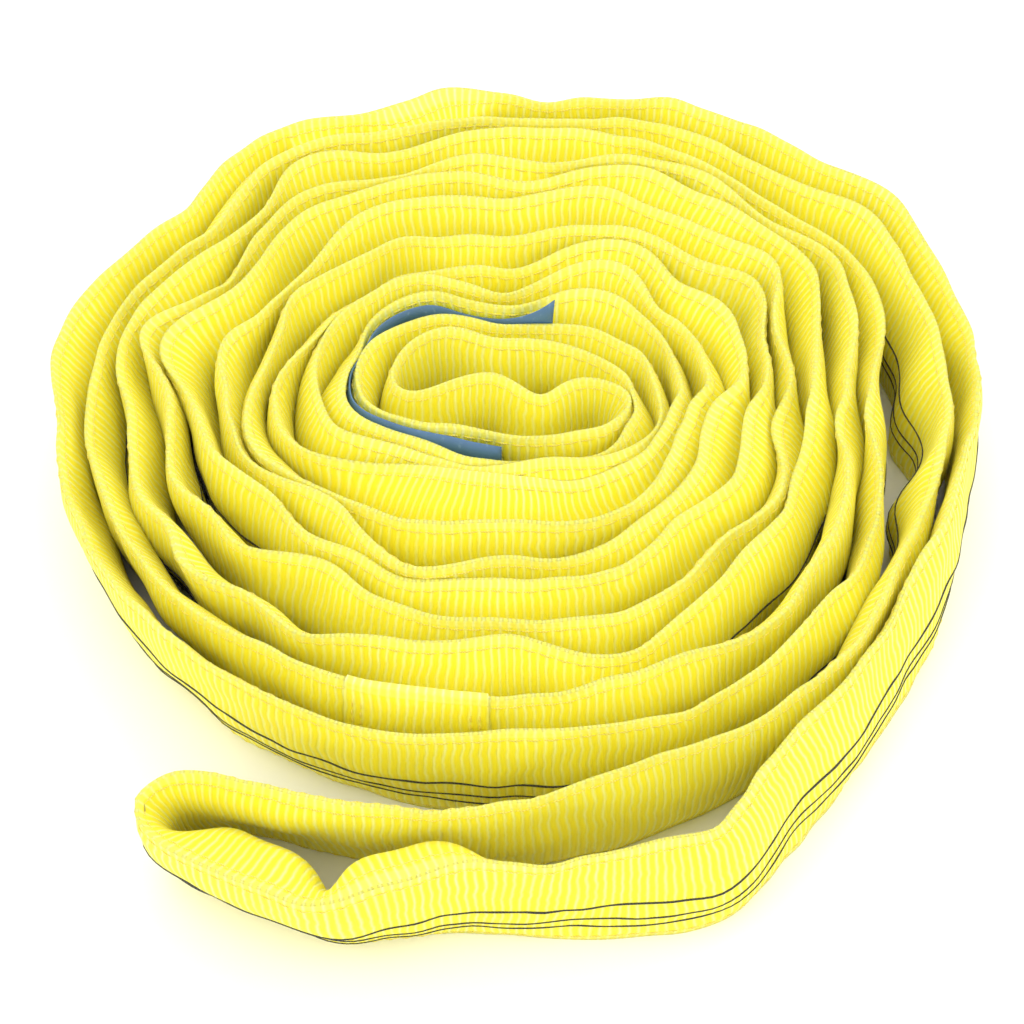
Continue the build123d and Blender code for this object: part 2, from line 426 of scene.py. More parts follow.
class Waves:
    """Seeded smooth waves along the loop."""

    def __init__(self, seed: int) -> None:
        """Start the random draws.

        Args:
            seed: fixed seed.
        """
        self.random = np.random.default_rng(seed)

    def along(self, where: np.ndarray, length: float) -> np.ndarray:
        """Smooth wave of about unit size.

        Args:
            where: positions in millimetres.
            length: distance between independent draws.

        Returns:
            Wave at each position.
        """
        low = float(where.min())
        count = int((where.max() - low) / length) + 5
        knots = self.random.uniform(-1.0, 1.0, count)
        at = (where - low) / length + 1.0
        cell = np.floor(at).astype(int)
        share = at - cell
        near = (knots[np.clip(cell + step, 0, count - 1)] for step in (-1, 0, 1, 2))
        return spline(*near, share)

    def field(self, along: np.ndarray, up: np.ndarray, length: float, slant: float,
              rows: int = 3) -> np.ndarray:
        """Smooth field over the strand, its crests leaning with height.

        Args:
            along: positions along the loop, one for each ring.
            up: heights from 0 to 1.
            length: distance between independent draws along the loop.
            slant: shift along the loop from the lower to the upper edge.
            rows: independent rows in the height.

        Returns:
            Field of shape (rings, heights).
        """
        lanes = np.stack([self.along(along + slant * row / rows, length)
                          for row in range(rows + 1)], axis=1)
        at = np.clip(up * rows, 0, rows - 1e-6)
        cell = at.astype(int)
        share = at - cell
        share = share * share * (3 - 2 * share)
        return lanes[:, cell] * (1 - share) + lanes[:, cell + 1] * share


def smoothed(values: np.ndarray, reach: float) -> np.ndarray:
    """Gaussian smoothing along the first axis, with the ends held.

    Args:
        values: array to smooth.
        reach: standard deviation in samples.

    Returns:
        Smoothed copy.
    """
    span = int(3 * reach) + 1
    weights = np.exp(-0.5 * (np.arange(-span, span + 1) / reach) ** 2)
    weights /= weights.sum()
    padded = np.concatenate([np.repeat(values[:1], span, 0), values,
                             np.repeat(values[-1:], span, 0)])
    flat = padded.reshape(len(padded), -1)
    out = np.stack([np.convolve(flat[:, i], weights, "valid") for i in range(flat.shape[1])], 1)
    return out.reshape(values.shape)


def through(points: Sequence[Sequence[float]], per_span: int) -> np.ndarray:
    """Smooth line through given points.

    Args:
        points: the points, all of one dimension.
        per_span: samples in each span.

    Returns:
        Samples, without the last point.
    """
    p = np.array(points, float)
    p = np.concatenate([2 * p[:1] - p[1:2], p, 2 * p[-1:] - p[-2:-1]])
    share = np.linspace(0, 1, per_span, endpoint=False)[:, None]
    return np.concatenate([spline(*four, share) for four in zip(p, p[1:], p[2:], p[3:])])


# ---- The route of the loop ----------------------------------------------------------------
class PlanWaves:
    """Smooth seeded waves over the plan, so that legs side by side bend together."""

    def __init__(self, seed: int, lengths: tuple = (32.0, 130.0), count: int = 22) -> None:
        """Draw the waves.

        Args:
            seed: fixed seed.
            lengths: shortest and longest wavelength in millimetres.
            count: how many waves are summed.
        """
        random = np.random.default_rng(seed)
        turn = random.uniform(0, 2 * math.pi, count)
        size = 2 * math.pi / random.uniform(*lengths, count)
        self.ways = np.stack([np.cos(turn) * size, np.sin(turn) * size])
        self.starts = random.uniform(0, 2 * math.pi, count)
        self.scale = math.sqrt(2.0 / count)

    def at(self, plan: np.ndarray) -> np.ndarray:
        """Wave of about unit size at points of the plan.

        Args:
            plan: points in millimetres, the last axis being x and y.

        Returns:
            One value for each point.
        """
        return np.sin(plan @ self.ways + self.starts).sum(-1) * self.scale


@dataclass
class CoilRoute:
    """Where the middle of the strand lies at its foot, its belly and its rim."""

    turns: int = 5                   # turns that are wound; the rest is the folded centre
    foot_gap: float = 8.4            # least distance between legs
    belly_gap: float = 9.4
    rim_gap: float = 4.4
    settle: tuple = (0.78, 0.3)      # turns wound before the bends set in, and over how many
    calm_share: float = 0.22         # of a leg's own bends that are there from the start
    slow_wave: tuple = (150.0, 3.2)  # length and size of a leg's slowest bends
    shared_wave: tuple = (1.5, 2.3, 3.9)     # bends shared by legs side by side: foot to rim
    own_wave: tuple = (1.3, 1.2, 3.6)        # bends of one leg alone
    inner_leg_end: int = 70          # degrees past the right where the inner leg leaves the coil
    pocket: float = 0.19             # share by which the turns draw back from the pair at the right
    tilt: tuple = (-2.5, 0.0, 4.0)   # how far the inner turns lean towards the back: foot to rim
    bulges: tuple = (7.6, -11.5)     # degrees at which the inner leg bulges into that pocket
    bulge: tuple = (11.0, 8.0, 0.0)
    label_room: float = 8.5          # how far the inner leg stands off for the label
    label_place: tuple = (238.0, 36.0)       # degrees where it does so, and their reach
    pocket_reach: float = 19.0       # degrees
    bulge_reach: float = 3.4         # degrees
    ease: float = 1.2                # how gently a leg is moved clear of its neighbour
    fade: float = 60.0               # degrees over which the last turn meets the folded centre
    seed: int = 11

    # rim and foot of the outermost leg: degrees from the right, anticlockwise, and radius
    rim_outline: tuple = (
        (0, 171), (10, 172), (26, 172), (34, 176), (43, 165), (51, 162), (61, 163), (70, 163),
        (85, 152), (99, 162), (110, 153), (120, 162), (129, 165), (143, 152), (157, 163),
        (166, 168), (180, 166), (200, 165), (225, 160), (250, 156), (270, 150), (292, 149),
        (315, 146), (330, 142), (345, 143), (360, 147))
    foot_outline: tuple = (
        (0, 163), (30, 162), (60, 158), (90, 156), (120, 155), (150, 153), (180, 151),
        (210, 147), (240, 146), (270, 146), (292, 145), (315, 141), (330, 137), (345, 137),
        (360, 141))

    # outer leg, lifting eye and inner leg, from the right of the coil round to its front:
    # rim x, rim y, foot x, foot y
    eye_route: tuple = (
        (163, -19, 163, -20), (152, -56, 154, -58), (137, -86, 141, -90),
        (112, -124, 119, -129), (84, -160, 95, -161), (69, -186, 76, -186),
        (54, -191, 57, -194), (32, -194, 31, -195), (12, -198, 8, -194),
        (-16, -198, -16, -193), (-40, -206, -38, -194), (-60, -216, -55, -197),
        (-81, -210, -74, -189), (-99, -203, -91, -181), (-114, -194, -105, -174),
        (-124, -184, -114, -166), (-123, -173, -114, -160), (-114, -166, -107, -154),
        (-100, -165, -95, -153), (-84, -170, -80, -155), (-64, -176, -60, -160),
        (-40, -179, -38, -163), (-20, -180, -20, -165), (4, -175, 6, -165), (34, -165, 34, -161))

    # folded centre, from the outer leg at the right, round and back to the inner leg
    centre_route: tuple = (
        (55, 1), (50, 20), (34, 33), (14, 38), (-7, 36), (-26, 41), (-44, 32), (-55, 14),
        (-53, -4), (-38, -13), (-14, -17), (13, -21), (31, -16), (41, -7), (41, 3), (33, 9),
        (25, 9), (18, 4), (11, -3), (3, 1), (-7, 8), (-20, 7), (-34, 1), (-43, 5), (-45, 14),
        (-40, 24), (-29, 31), (-17, 30), (-7, 26), (12, 28), (29, 23), (41, 12), (45, 1))

    def wound(self) -> tuple[np.ndarray, np.ndarray]:
        """Radii of the outer and the inner leg over all the turns, for foot, belly and rim.

        Returns:
            Two arrays of shape (3, degrees), from inner_leg_end before the right inwards.
        """
        lead = self.inner_leg_end
        degree = np.arange(-lead, 360 * self.turns + 1)
        outer, inner = self._wanted(degree)
        centre = self._centre_radii()
        gaps = np.array([self.foot_gap, self.belly_gap, self.rim_gap])[:, None]
        place, reach = self.label_place
        room = np.exp(-0.5 * ((np.arange(361) - place) / reach) ** 2) * self.label_room
        for turn in reversed(range(-1, self.turns)):
            low = max(0, lead + 360 * turn)
            high = lead + 360 * (turn + 1) + 1
            if turn == self.turns - 1:
                within = centre[None, :] + room * np.array([0.5, 0.8, 1.0])[:, None]
            else:
                within = outer[:, low + 360:high + 360]
            inner[:, low:high] = self._clear(inner[:, low:high], within + gaps)
            if turn >= 0:
                outer[:, low:high] = self._clear(outer[:, low:high], inner[:, low:high] + gaps)
        return smoothed(outer.T, 1.6).T, smoothed(inner.T, 1.6).T

    def _wanted(self, degree: np.ndarray) -> tuple[np.ndarray, np.ndarray]:
        """Radii wanted for both legs before they are moved clear of each other.

        Args:
            degree: degrees wound, from the right inwards.

        Returns:
            Two arrays of shape (3, degrees).
        """
        theta = np.radians(degree)
        way = np.stack([np.cos(theta), np.sin(theta)], 1)
        wound = np.clip(degree / (360.0 * self.turns), -0.1, 1)
        centre = self._centre_radii()[degree % 360]
        rim = np.interp(degree % 360, *np.array(self.rim_outline).T)
        foot = np.interp(degree % 360, *np.array(self.foot_outline).T)
        arc = np.cumsum((centre + (rim - centre) * (1 - wound)) * math.pi / 180.0)
        shared = PlanWaves(self.seed)
        turn = degree / 360.0
        inward = np.clip((turn - self.settle[0]) / self.settle[1], 0, 1)
        across = (degree + 178) % 360 - 180
        near = np.exp(-(across / self.pocket_reach) ** 2) * np.clip(turn * 4 - 2, 0, 1)
        pocket = 1 - self.pocket * near
        legs = []
        for number, half_turns in enumerate((0.0, 0.5)):
            waves = Waves(self.seed + number)
            slow = waves.along(arc, self.slow_wave[0]) * self.slow_wave[1]
            levels = []
            for level, outline in enumerate((foot, (foot + rim) / 2, rim)):
                full = centre + (outline - centre) / (1 - (degree % 360) / (360.0 * self.turns))
                share = 1 - wound - half_turns / self.turns
                plain = centre + (full - centre) * np.clip(share, 0, 1.1) * pocket
                plain += self.tilt[level] * np.sin(theta) * inward * np.clip((4.7 - turn) * 2, 0, 1)
                bend = shared.at(way * plain[:, None]) * self.shared_wave[level] * inward
                own = (waves.along(arc, 27.0) + waves.along(arc, 58.0)) * self.own_wave[level]
                own += slow
                bulge = sum(np.exp(-((degree - place) / self.bulge_reach) ** 2)
                            for place in self.bulges)
                bulge = bulge * self.bulge[level] * half_turns * 2
                calm = self.calm_share + (1 - self.calm_share) * inward
                calm = calm * (1 - 0.85 * near)
                levels.append(plain + bend * (1 - near) + own * calm - bulge)
            legs.append(np.stack(levels))
        fade = np.clip((degree - (degree[-1] - self.fade)) / self.fade, 0, 1)
        fade = fade * fade * (3 - 2 * fade)
        for leg, end in zip(legs, (self.centre_route[0][0], self.centre_route[-1][0])):
            leg += (end - leg) * fade
        return legs[0], legs[1]

    def _clear(self, wanted: np.ndarray, least: np.ndarray) -> np.ndarray:
        """Move radii out until they are clear.

        Args:
            wanted: radii where nothing is in the way.
            least: radii that clear the leg further in.

        Returns:
            The wanted radii, eased out to about the least ones where those are larger.
        """
        apart = np.sqrt((wanted - least) ** 2 + self.ease * self.ease)
        return 0.5 * (wanted + least + apart) - self.ease * 0.25

    def _centre_radii(self) -> np.ndarray:
        """Radius of the folded centre's outermost leg.

        Returns:
            One radius for each degree of a turn, both ends included.
        """
        line = through(self.centre_route[:14], 12)
        angle = np.unwrap(np.arctan2(line[:, 1], line[:, 0]))
        radius = np.hypot(line[:, 0], line[:, 1])
        return np.interp(np.radians(np.arange(0, 361)), angle, radius)

    def levels(self) -> np.ndarray:
        """Closed route of the loop, starting at the tip of the eye.

        Returns:
            Array of shape (points, 3 levels, 2).
        """
        lead = self.inner_leg_end
        outer, inner = self.wound()
        theta = np.radians(np.arange(-lead, 360 * self.turns + 1))
        way = np.stack([np.cos(theta), np.sin(theta)], 1)
        outer_leg = outer.T[:, :, None] * way[:, None, :]
        inner_leg = inner.T[:, :, None] * way[:, None, :]
        outer_leg = outer_leg[lead + 4:-3]
        inner_leg = inner_leg[:-3][::-1]
        centre = np.repeat(through(self.centre_route, 8)[8:-8, None, :], 3, 1)
        before = [self._ends(outer_leg[place]) for place in (6, 0)]
        after = [self._ends(inner_leg[place]) for place in (-1, -7)]
        eye = through([*before, *self.eye_route, *after], 10)[10:-10]
        eye = np.stack([eye[:, 2:4], (eye[:, 0:2] + eye[:, 2:4]) / 2, eye[:, 0:2]], 1)
        tip = int(np.argmin(eye[:, 2, 0]))
        to_coil = eye[:tip + 1][::-1]
        to_eye = eye[tip:][::-1]
        return np.concatenate([to_coil, outer_leg, centre, inner_leg, to_eye[:-1]])

    @staticmethod
    def _ends(level_points: np.ndarray) -> np.ndarray:
        """Rim and foot of one place of the route, as the eye route lists them."""
        return np.concatenate([level_points[2], level_points[0]])


@dataclass
class Strand:
    """The filled strand: its section, laid along the route."""

    middle: Vector                   # middle of the coil in the frame, metres
    height: float = 56.0
    belly: float = 9.8               # thickness at mid height
    # where the legs of the eye bulge inwards: where, reach, height and size
    near_bulges: tuple = ((-87.0, 26.0, 0.60, 15.5), (-33.0, 22.0, 0.82, 13.0))
    far_bulges: tuple = ((-76.0, 40.0, 0.76, 4.5),)
    loose: float = 0.30              # share by which it swells where the turns lie loose
    edge: float = 1.3                # thickness of the sewn edges
    spacing: float = 3.0             # between rings
    headroom: float = 3.4            # by which the rim lies below the full height on average
    # waves of the rim: length and size
    rim_waves: tuple = ((44.0, 3.3), (17.0, 0.9))
    # buckles of the band: length, slant, rows, size at its edges and size at its belly
    buckles: tuple = ((24.0, 30.0, 3, 1.4, 0.9), (11.0, -14.0, 4, 0.5, 0.5),
                      (9.0, 0.0, 2, 0.5, 0.0))
    # lumps of each face: length, slant, rows and size
    face_lumps: tuple = ((23.0, 24.0, 3, 1.15), (10.0, 16.0, 5, 0.50))
    route: CoilRoute = field(default_factory=CoilRoute)
    seed: int = 5

    def __post_init__(self) -> None:
        """Work out the route, its length and the waves laid over it."""
        loop = self.route.levels()
        closed = np.concatenate([loop, loop[:1]])
        step = np.linalg.norm(np.diff(closed[:, 1], axis=0), axis=1)
        reach = np.concatenate([[0.0], np.cumsum(step)])
        self.length = float(reach[-1])
        count = int(self.length / self.spacing)
        self.along = np.arange(count) * self.length / count
        places = [[np.interp(self.along, reach, closed[:, level, axis]) for axis in (0, 1)]
                  for level in range(3)]
        self.levels = np.array(places).transpose(2, 0, 1)
        turned = np.concatenate([self.levels[-12:], self.levels, self.levels[:12]])
        self.levels = smoothed(turned, 1.5)[12:-12]
        waves = Waves(self.seed)
        self.top = self.height - self.headroom
        for length, size in self.rim_waves:
            self.top = self.top + waves.along(self.along, length) * size
        even = np.linspace(0, 1, 17)
        self.heights = even - 0.10 * np.sin(2 * math.pi * even)     # closer near the edges
        self._lay_waves(waves)

    def _lay_waves(self, waves: Waves) -> None:
        """Draw the buckles of the band, the lumps of each face and how full the strand is.

        Args:
            waves: the seeded waves to draw from.
        """
        up = self.heights
        body = np.sin(math.pi * up) ** 0.7
        self.buckle = sum(
            waves.field(self.along, up, length, slant, rows) * (edge + (belly - edge) * body)
            for length, slant, rows, edge, belly in self.buckles)
        self.lumps = {}
        for face in Face:
            lumps = sum(waves.field(self.along, up, length, slant, rows) * size
                        for length, slant, rows, size in self.face_lumps)
            self.lumps[face] = lumps * body
        near_leg = self.along < 0.1 * self.length
        far_leg = self.along > 0.9 * self.length
        bulges = [(near_leg, *bulge) for bulge in self.near_bulges]
        bulges += [(far_leg, *bulge) for bulge in self.far_bulges]
        for leg, x, reach, high, size in bulges:
            swell = np.exp(-((self.levels[:, 1, 0] - x) / reach) ** 4) * leg * size
            shape = np.exp(-((up - high) / 0.27) ** 2) * np.clip(np.minimum(up, 1 - up) * 8, 0, 1)
            self.lumps[Face.INSIDE] += swell[:, None] * shape[None, :]
        self.fill = 1.0 + waves.along(self.along, 70.0) * 0.08
        plan = self.levels[:, 1]
        front = np.clip(-plan[:, 1] / np.hypot(plan[:, 0], plan[:, 1]), 0, 1)
        within = np.abs(np.hypot(plan[:, 0], plan[:, 1]) - 98) < 42
        self.fill += smoothed(front * within, 10.0) * self.loose

    def thickness(self, up: np.ndarray) -> np.ndarray:
        """Half thickness of the strand at shares of its height.

        Args:
            up: shares of the height.

        Returns:
            Half thicknesses in millimetres.
        """
        swell = np.clip(np.sin(math.pi * np.clip((up - 0.03) / 0.94, 0, 1)), 0, 1) ** 0.72
        return self.edge / 2 + (self.belly - self.edge) / 2 * swell

    def middle_surface(self) -> np.ndarray:
        """Middle of the strand at every ring and height, in millimetres.

        Returns:
            Array of shape (rings, heights, 3).
        """
        up = self.heights
        foot, belly, rim = (self.levels[:, level, None, :] for level in range(3))
        u = up[None, :, None]
        plan = (foot * (1 - u) * (1 - 2 * u) + belly * 4 * u * (1 - u) + rim * u * (2 * u - 1))
        z = self.top[:, None] * up[None, :]
        return np.concatenate([plan, z[:, :, None]], 2)

    def normals(self, surface: np.ndarray) -> np.ndarray:
        """Unit normals of the middle surface, towards the inside of the loop.

        Args:
            surface: the middle surface.

        Returns:
            Array of the same shape.
        """
        along = np.roll(surface, -2, 0) - np.roll(surface, 2, 0)
        upward = np.gradient(surface, axis=1)
        normal = np.cross(upward, along)
        normal /= np.linalg.norm(normal, axis=2, keepdims=True)
        turned = np.concatenate([normal[-8:], normal, normal[:8]])
        normal = smoothed(turned, 1.2)[8:-8]
        return normal / np.linalg.norm(normal, axis=2, keepdims=True)

    def prepare(self) -> None:
        """Work out the middle surface and its normals once, with the buckles."""
        plain = self.middle_surface()
        self.normal = self.normals(plain)
        self.surface = plain + self.normal * self.buckle[:, :, None]
        self.surface[:, :, 2] = np.maximum(self.surface[:, :, 2], 0.0)

    def face_points(self, face: Face, stand: float = 0.0) -> np.ndarray:
        """Points of one face of the jacket.

        Args:
            face: which face.
            stand: millimetres above the face.

        Returns:
            Array of shape (rings, heights, 3).
        """
        half = self.thickness(self.heights)[None, :] * self.fill[:, None]
        half = half + self.lumps[face] * 0.9 + stand
        out = self.surface + self.normal * (face.value * half)[:, :, None]
        out[:, :, 2] = np.maximum(out[:, :, 2], 0.0)
        return out

    def line_on_face(self, face: Face, heights: np.ndarray, stand: float) -> np.ndarray:
        """A line along the loop on one face.

        Args:
            face: which face.
            heights: share of the height at each ring.
            stand: millimetres above the face.

        Returns:
            Array of shape (rings, 3).
        """
        points = self.face_points(face, stand)
        cell = np.clip(np.searchsorted(self.heights, heights) - 1, 0, len(self.heights) - 2)
        low, high = self.heights[cell], self.heights[cell + 1]
        share = ((heights - low) / (high - low))[:, None]
        rings = np.arange(len(points))
        return points[rings, cell] * (1 - share) + points[rings, cell + 1] * share

    def line_at(self, face: Face, share: float, stand: float = 0.0) -> np.ndarray:
        """A line at the same share of the height all along one face.

        Args:
            face: which face.
            share: share of the height.
            stand: millimetres above the face.

        Returns:
            Array of shape (rings, 3).
        """
        return self.line_on_face(face, np.full(len(self.along), share), stand)

    def section(self, rings: np.ndarray, stand: float = 0.0) -> tuple[np.ndarray, np.ndarray]:
        """Points round the whole section: up the outside face and down the inside one.

        Args:
            rings: ring numbers.
            stand: millimetres above the faces.

        Returns:
            Array of shape (rings, around, 3), and the share of the height at each place round.
        """
        outside, inside = (self.face_points(face, stand)[rings] for face in Face)
        shares = np.concatenate([self.heights, self.heights[::-1]])
        return np.concatenate([outside, inside[:, ::-1]], 1), shares

    def ring_at(self, degrees: float, radius: float) -> int:
        """Ring of the inner leg nearest a place of the plan.

        Args:
            degrees: angle from the right, anticlockwise.
            radius: millimetres from the coil's middle.

        Returns:
            The ring number.
        """
        plan = self.levels[:, 1]
        x, y = (radius * f(math.radians(degrees)) for f in (math.cos, math.sin))
        away = np.hypot(plan[:, 0] - x, plan[:, 1] - y)
        away[:len(away) // 2] = np.inf
        return int(np.argmin(away))

    def to_frame(self, points: np.ndarray) -> np.ndarray:
        """Millimetres from the coil's middle to metres in the frame."""
        return points * MM + np.array(self.middle)


# ---- Mesh helpers -------------------------------------------------------------------------
def lay_of(along: np.ndarray, up: np.ndarray, side: Any) -> np.ndarray:
    """Lay of the vertices of rings.

    Args:
        along: millimetres along the loop, one for each ring.
        up: millimetres above the lower edge, for every vertex or for one ring of them.
        side: which face, likewise, or one number for all.

    Returns:
        Along and up in metres, and side, one row for each vertex.
    """
    parts = np.broadcast_arrays(along[:, None] * MM, up * MM, side)
    return np.stack(parts, -1).reshape(-1, 3)


def make_piece(name: str, points: np.ndarray, faces: list, lay: np.ndarray,
               material: Any) -> Any:
    """Make a smooth mesh object with its lay attribute.

    Args:
        name: object name.
        points: vertices in metres, in rows of any shape.
        faces: vertex indices of each face.
        lay: along, up and side of each vertex.
        material: its finish.

    Returns:
        The object.
    """
    mesh = bpy.data.meshes.new(name)
    mesh.from_pydata(points.reshape(-1, 3).tolist(), [], faces)
    attribute = mesh.attributes.new("lay", "FLOAT_VECTOR", "POINT")
    attribute.data.foreach_set("vector", lay.astype(np.float32).ravel())
    mesh.materials.append(material)
    mesh.polygons.foreach_set("use_smooth", np.ones(len(mesh.polygons), bool))
    mesh.update()
    piece = bpy.data.objects.new(name, mesh)
    bpy.context.scene.collection.objects.link(piece)
    LOG.info("%s: %d faces", name, len(mesh.polygons))
    return piece


def tube_faces(rings: int, around: int, first: int = 0) -> list:
    """Faces of an open tube of rings.

    Args:
        rings: how many rings.
        around: points in each.
        first: index of the first vertex.

    Returns:
        Quads.
    """
    ring = first + np.arange(rings - 1)[:, None] * around
    here = np.arange(around)[None, :]
    a = ring + here
    b = ring + (here + 1) % around
    return np.stack([a, b, b + around, a + around], 2).reshape(-1, 4).tolist()


def cap_faces(rings: int, around: int, first: int = 0) -> list:
    """The two end faces of an open tube."""
    last = first + (rings - 1) * around
    return [list(range(first, first + around))[::-1], list(range(last, last + around))]


def stitch_meshes(stitches: Sequence[tuple], radius: float) -> tuple[np.ndarray, list]:
    """Short stitches, swollen in the middle.

    Args:
        stitches: for each, the points of its centre line and two directions across it.
        radius: radius in the middle, in millimetres.

    Returns:
        Vertices in millimetres, and faces.
    """
    around = 6
    angle = np.arange(around)[:, None] * 2 * math.pi / around
    points, faces = [], []
    for number, (centre, along, out) in enumerate(stitches):
        rows = len(centre)
        swell = radius * np.sin(np.linspace(0.35, math.pi - 0.35, rows))[:, None, None]
        shape = along * np.cos(angle) + out * np.sin(angle)
        points.append((centre[:, None] + shape * swell).reshape(-1, 3))
        first = number * rows * around
        faces += tube_faces(rows, around, first) + cap_faces(rows, around, first)
    return np.concatenate(points), faces


class Body(Enum):
    """The two bodies that soft pieces ride on."""

    COIL = "coil"
    FREE_END = "free_end"


@dataclass
class Split:
    """Shares the loop between the coil and the free end."""

    strand: Strand
    pivot: Vector
    lead: float = 0.070     # metres from the pivot to the cut, towards the coil
    start: float = 0.030    # and to where the bend starts
    end: float = -0.034     # and to where it ends, in the free end

    def rings(self, body: Body) -> np.ndarray:
        """Ring numbers of one body's stretch, in order, with the cut rings in both.

        Args:
            body: which body.

        Returns:
            Ring numbers.
        """
        count = len(self.strand.along)
        x = self.strand.to_frame(self.strand.surface)[:, :, 0].min(1)
        cut = self.pivot.x + self.lead
        first = next(i for i in range(count) if x[i] > cut)
        last = next(i for i in range(1, count) if x[-i] > cut)
        if body is Body.COIL:
            return np.arange(first, count - last + 1)
        return np.arange(-last, first + 1) % count

    def place(self, piece: Any, body: Body) -> None:
        """Attach a piece to the coil, or bake its place into its mesh if it belongs to the free
        end.

        Args:
            piece: the object.
            body: which stretch it belongs to.
        """
        if body is Body.COIL:
            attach(piece, "coil")
            return
        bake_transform(piece)


# ---- Soft pieces --------------------------------------------------------------------------
@dataclass
class Jacket:
    """The woven tubular jacket, in its two stretches."""

    split: Split
    material: Any
    flat_width: float = 0.060       # of the empty tube laid flat

    def build(self) -> None:
        """Make and place both stretches."""
        nodes = {Body.COIL: ("jacket_coil", "jacket_outer_leg"),
                 Body.FREE_END: ("jacket_free_end",)}
        for body, stands_for in nodes.items():
            piece = self._stretch(body)
            self.split.place(piece, body)
            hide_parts(*stands_for)
            length = len(self.split.rings(body)) * self.split.strand.spacing * MM

    def _stretch(self, body: Body) -> Any:
        """Mesh of one stretch, an open tube.

        Args:
            body: which stretch.

        Returns:
            The object.
        """
        strand = self.split.strand
        rings = self.split.rings(body)
        points, shares = strand.section(rings)
        along = strand.along[rings].copy()
        if body is Body.FREE_END:
            along[along > strand.length / 2] -= strand.length
        side = np.repeat([face.value for face in Face], len(strand.heights))
        lay = lay_of(along, shares * strand.height, side)
        return make_piece(f"woven_jacket_{body.value}", strand.to_frame(points),
                          tube_faces(*points.shape[:2]), lay, self.material)


@dataclass
class ThreadRun:
    """A thread or yarn that follows the loop on or inside the jacket."""

    split: Split
    material: Any
    width: float            # radius across the strand, millimetres
    tall: float             # radius in the height, millimetres
    around: int = 6

    def mesh(self, name: str, body: Body, lines: Sequence[np.ndarray],
             swells: Sequence[np.ndarray] | None = None, high: float = 0.5) -> Any:
        """Tubes along several lines, as one piece.

        Args:
            name: object name.
            body: which stretch.
            lines: centre lines in millimetres, one point for each ring of the loop.
            swells: share of the radius at each ring, one array for each line.
            high: share of the height at which the lines lie, for the slope of the jacket.

        Returns:
            The object.
        """
        strand = self.split.strand
        rings = self.split.rings(body)
        level = int(np.clip(np.searchsorted(strand.heights, high), 1, len(strand.heights) - 2))
        normal = strand.normal[rings, level]
        upward = strand.surface[rings, level + 1] - strand.surface[rings, level - 1]
        upward /= np.linalg.norm(upward, axis=1, keepdims=True)
        angle = np.arange(self.around) * 2 * math.pi / self.around
        across = (normal[:, None] * (np.cos(angle) * self.width)[:, None]
                  + upward[:, None] * (np.sin(angle) * self.tall)[:, None])
        all_points, all_lay, faces = [], [], []
        for number, line in enumerate(lines):
            swell = 1.0 if swells is None else swells[number][rings][:, None, None]
            points = line[rings][:, None] + across * swell
            points[:, :, 2] = np.maximum(points[:, :, 2], 0.0)
            first = number * len(rings) * self.around
            faces += tube_faces(len(rings), self.around, first)
            faces += cap_faces(len(rings), self.around, first)
            all_points.append(strand.to_frame(points))
            all_lay.append(lay_of(strand.along[rings], points[:, :, 2], np.cos(angle)))
        piece = make_piece(name, np.concatenate(all_points), faces, np.concatenate(all_lay),
                           self.material)
        self.split.place(piece, body)
        return piece


@dataclass
class Core:
    """The load-bearing yarn, in bundles stacked inside the jacket."""

    split: Split
    material: Any
    bundles: int = 6
    spread: float = 0.80    # share of the height that they fill
    wall: float = 1.5
    least: float = 0.4      # radius where the jacket is pinched
    most: float = 3.3

    def build(self) -> None:
        """Make both stretches of every bundle."""
        strand = self.split.strand
        run = ThreadRun(self.split, self.material, 1.0, 1.0, 8)
        for index in range(self.bundles):
            share = (index + 0.5) / self.bundles * self.spread + (1 - self.spread) / 2
            outside, inside = (strand.line_at(face, share) for face in Face)
            half = np.linalg.norm(outside - inside, axis=1) / 2
            radius = np.clip(half - self.wall, self.least, self.most)
            for body in Body:
                node = f"core_bundle_{index + 1}_{body.value}"
                middle = (outside + inside) / 2
                piece = run.mesh("yarn_" + node, body, [middle], [radius], share)
                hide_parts(node)


@dataclass
class MarkerThreads:
    """Three black threads woven into the outside of the loop."""

    split: Split
    material: Any
    drops: tuple = (0.51, 0.67, 0.76)        # shares of the height below the rim
    radii: tuple = (0.46, 0.34, 0.34)
    stand: float = 0.12

    def build(self) -> None:
        """Make both stretches, three threads in each."""
        strand = self.split.strand
        waves = Waves(23)
        lines, swells = [], []
        for drop, radius in zip(self.drops, self.radii):
            wander = waves.along(strand.along, 6.0) * 0.009
            wander = wander + waves.along(strand.along, 40.0) * 0.010
            lines.append(strand.line_on_face(Face.OUTSIDE, 1 - drop + wander, self.stand))
            swells.append(radius * (1.0 + 0.25 * waves.along(strand.along, 5.0)))
        run = ThreadRun(self.split, self.material, 0.75, 1.0, 6)
        for body in Body:
            node = f"marker_threads_{body.value}"
            piece = run.mesh("black_" + node, body, lines, swells)
            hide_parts(node)


